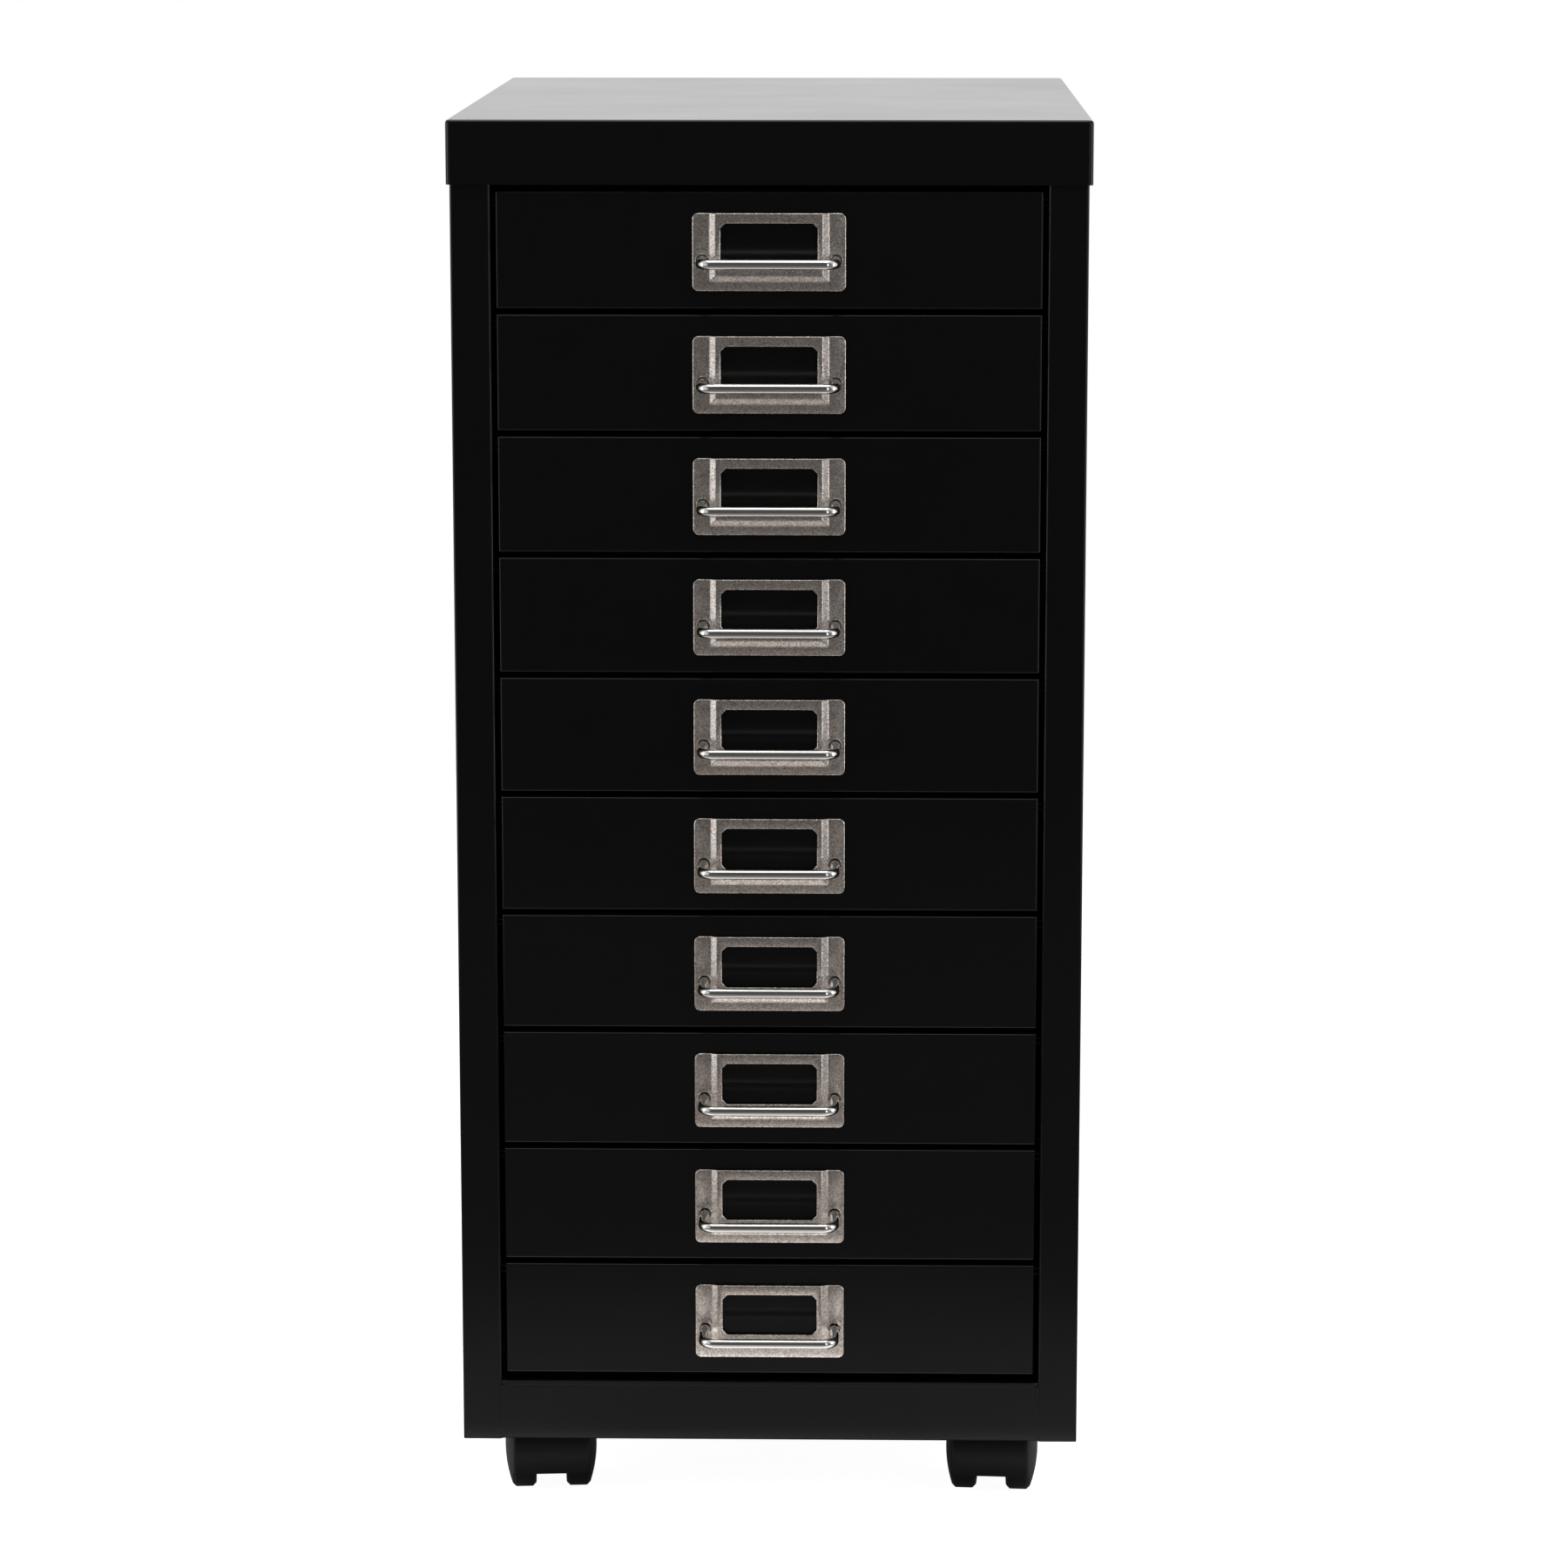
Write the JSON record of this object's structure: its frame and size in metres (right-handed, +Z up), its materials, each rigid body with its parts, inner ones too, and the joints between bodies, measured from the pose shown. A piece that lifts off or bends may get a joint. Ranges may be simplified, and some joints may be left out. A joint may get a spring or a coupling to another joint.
{
  "type": "multidrawer cabinet",
  "caption": "Narrow upright steel cabinet with a stack of equal shallow drawers, card holders and wire handles, on twin-wheel swivel casters.",
  "frame": {"origin": "on the floor, under the middle of the cabinet's whole box with the handles included", "axes": "+Z up, the drawers open towards -Y, +X to the right of someone facing the drawers"},
  "size_m": [0.2822, 0.432, 0.6276],
  "materials": {
    "body_paint": "satin gloss stoved paint with a slight orange peel",
    "drawer_paint": "satin gloss stoved paint with a slight orange peel",
    "label_plate": "plated pressed steel with fine speckle",
    "chrome": "bright chrome wire",
    "zinc_plate": "zinc plated",
    "hood_nylon": "moulded nylon, fine matte grain",
    "wheel_nylon": "moulded nylon, satin"
  },
  "bodies": {
    "cabinet": {"side_panel_left": "body_paint", "side_panel_right": "body_paint", "back_panel": "body_paint", "top_cap": "body_paint", "top_rail": "body_paint", "front_plinth": "body_paint", "base_pan": "body_paint", "runner_panel_left": "body_paint", "runner_panel_right": "body_paint", "caster_plates": "zinc_plate", "caster_kingpins": "zinc_plate", "caster_screws": "zinc_plate", "caster_nuts": "zinc_plate"},
    "drawer_01": {"drawer_01_tray": "drawer_paint", "drawer_01_label_frame": "label_plate", "drawer_01_bail": "chrome"},
    "drawer_02": {"drawer_02_tray": "drawer_paint", "drawer_02_label_frame": "label_plate", "drawer_02_bail": "chrome"},
    "drawer_03": {"drawer_03_tray": "drawer_paint", "drawer_03_label_frame": "label_plate", "drawer_03_bail": "chrome"},
    "drawer_04": {"drawer_04_tray": "drawer_paint", "drawer_04_label_frame": "label_plate", "drawer_04_bail": "chrome"},
    "drawer_05": {"drawer_05_tray": "drawer_paint", "drawer_05_label_frame": "label_plate", "drawer_05_bail": "chrome"},
    "drawer_06": {"drawer_06_tray": "drawer_paint", "drawer_06_label_frame": "label_plate", "drawer_06_bail": "chrome"},
    "drawer_07": {"drawer_07_tray": "drawer_paint", "drawer_07_label_frame": "label_plate", "drawer_07_bail": "chrome"},
    "drawer_08": {"drawer_08_tray": "drawer_paint", "drawer_08_label_frame": "label_plate", "drawer_08_bail": "chrome"},
    "drawer_09": {"drawer_09_tray": "drawer_paint", "drawer_09_label_frame": "label_plate", "drawer_09_bail": "chrome"},
    "drawer_10": {"drawer_10_tray": "drawer_paint", "drawer_10_label_frame": "label_plate", "drawer_10_bail": "chrome"},
    "caster_front_left": {"caster_front_left_hood": "hood_nylon", "caster_front_left_axle": "zinc_plate"},
    "caster_front_left_wheel_left_body": {"caster_front_left_wheel_left": "wheel_nylon"},
    "caster_front_left_wheel_right_body": {"caster_front_left_wheel_right": "wheel_nylon"},
    "caster_front_right": {"caster_front_right_hood": "hood_nylon", "caster_front_right_axle": "zinc_plate"},
    "caster_front_right_wheel_left_body": {"caster_front_right_wheel_left": "wheel_nylon"},
    "caster_front_right_wheel_right_body": {"caster_front_right_wheel_right": "wheel_nylon"},
    "caster_rear_left": {"caster_rear_left_hood": "hood_nylon", "caster_rear_left_axle": "zinc_plate"},
    "caster_rear_left_wheel_left_body": {"caster_rear_left_wheel_left": "wheel_nylon"},
    "caster_rear_left_wheel_right_body": {"caster_rear_left_wheel_right": "wheel_nylon"},
    "caster_rear_right": {"caster_rear_right_hood": "hood_nylon", "caster_rear_right_axle": "zinc_plate"},
    "caster_rear_right_wheel_left_body": {"caster_rear_right_wheel_left": "wheel_nylon"},
    "caster_rear_right_wheel_right_body": {"caster_rear_right_wheel_right": "wheel_nylon"}
  },
  "joints": [
    {"name": "drawer_01_slide", "type": "slide", "parent": "cabinet", "child": "drawer_01", "axis": [0, -1, 0], "range_m": [0, 0.3]},
    {"name": "drawer_02_slide", "type": "slide", "parent": "cabinet", "child": "drawer_02", "axis": [0, -1, 0], "range_m": [0, 0.3]},
    {"name": "drawer_03_slide", "type": "slide", "parent": "cabinet", "child": "drawer_03", "axis": [0, -1, 0], "range_m": [0, 0.3]},
    {"name": "drawer_04_slide", "type": "slide", "parent": "cabinet", "child": "drawer_04", "axis": [0, -1, 0], "range_m": [0, 0.3]},
    {"name": "drawer_05_slide", "type": "slide", "parent": "cabinet", "child": "drawer_05", "axis": [0, -1, 0], "range_m": [0, 0.3]},
    {"name": "drawer_06_slide", "type": "slide", "parent": "cabinet", "child": "drawer_06", "axis": [0, -1, 0], "range_m": [0, 0.3]},
    {"name": "drawer_07_slide", "type": "slide", "parent": "cabinet", "child": "drawer_07", "axis": [0, -1, 0], "range_m": [0, 0.3]},
    {"name": "drawer_08_slide", "type": "slide", "parent": "cabinet", "child": "drawer_08", "axis": [0, -1, 0], "range_m": [0, 0.3]},
    {"name": "drawer_09_slide", "type": "slide", "parent": "cabinet", "child": "drawer_09", "axis": [0, -1, 0], "range_m": [0, 0.3]},
    {"name": "drawer_10_slide", "type": "slide", "parent": "cabinet", "child": "drawer_10", "axis": [0, -1, 0], "range_m": [0, 0.3]},
    {"name": "front_left_swivel", "type": "hinge", "parent": "cabinet", "child": "caster_front_left", "pos_m": [-0.1025, -0.14903, 0.04], "axis": [0, 0, 1], "continuous": true},
    {"name": "front_left_wheel_left_spin", "type": "hinge", "parent": "caster_front_left", "child": "caster_front_left_wheel_left_body", "pos_m": [-0.10154, -0.15998, 0.02], "axis": [0.9962, 0.0872, 0], "continuous": true},
    {"name": "front_left_wheel_right_spin", "type": "hinge", "parent": "caster_front_left", "child": "caster_front_left_wheel_right_body", "pos_m": [-0.10154, -0.15998, 0.02], "axis": [0.9962, 0.0872, 0], "continuous": true},
    {"name": "front_right_swivel", "type": "hinge", "parent": "cabinet", "child": "caster_front_right", "pos_m": [0.1025, -0.14903, 0.04], "axis": [0, 0, 1], "continuous": true},
    {"name": "front_right_wheel_left_spin", "type": "hinge", "parent": "caster_front_right", "child": "caster_front_right_wheel_left_body", "pos_m": [0.10173, -0.16, 0.02], "axis": [0.9976, -0.0698, 0], "continuous": true},
    {"name": "front_right_wheel_right_spin", "type": "hinge", "parent": "caster_front_right", "child": "caster_front_right_wheel_right_body", "pos_m": [0.10173, -0.16, 0.02], "axis": [0.9976, -0.0698, 0], "continuous": true},
    {"name": "rear_left_swivel", "type": "hinge", "parent": "cabinet", "child": "caster_rear_left", "pos_m": [-0.1025, 0.17497, 0.04], "axis": [0, 0, 1], "continuous": true},
    {"name": "rear_left_wheel_left_spin", "type": "hinge", "parent": "caster_rear_left", "child": "caster_rear_left_wheel_left_body", "pos_m": [-0.1025, 0.16397, 0.02], "axis": [1, 0, 0], "continuous": true},
    {"name": "rear_left_wheel_right_spin", "type": "hinge", "parent": "caster_rear_left", "child": "caster_rear_left_wheel_right_body", "pos_m": [-0.1025, 0.16397, 0.02], "axis": [1, 0, 0], "continuous": true},
    {"name": "rear_right_swivel", "type": "hinge", "parent": "cabinet", "child": "caster_rear_right", "pos_m": [0.1025, 0.17497, 0.04], "axis": [0, 0, 1], "continuous": true},
    {"name": "rear_right_wheel_left_spin", "type": "hinge", "parent": "caster_rear_right", "child": "caster_rear_right_wheel_left_body", "pos_m": [0.1025, 0.16397, 0.02], "axis": [1, 0, 0], "continuous": true},
    {"name": "rear_right_wheel_right_spin", "type": "hinge", "parent": "caster_rear_right", "child": "caster_rear_right_wheel_right_body", "pos_m": [0.1025, 0.16397, 0.02], "axis": [1, 0, 0], "continuous": true}
  ]
}
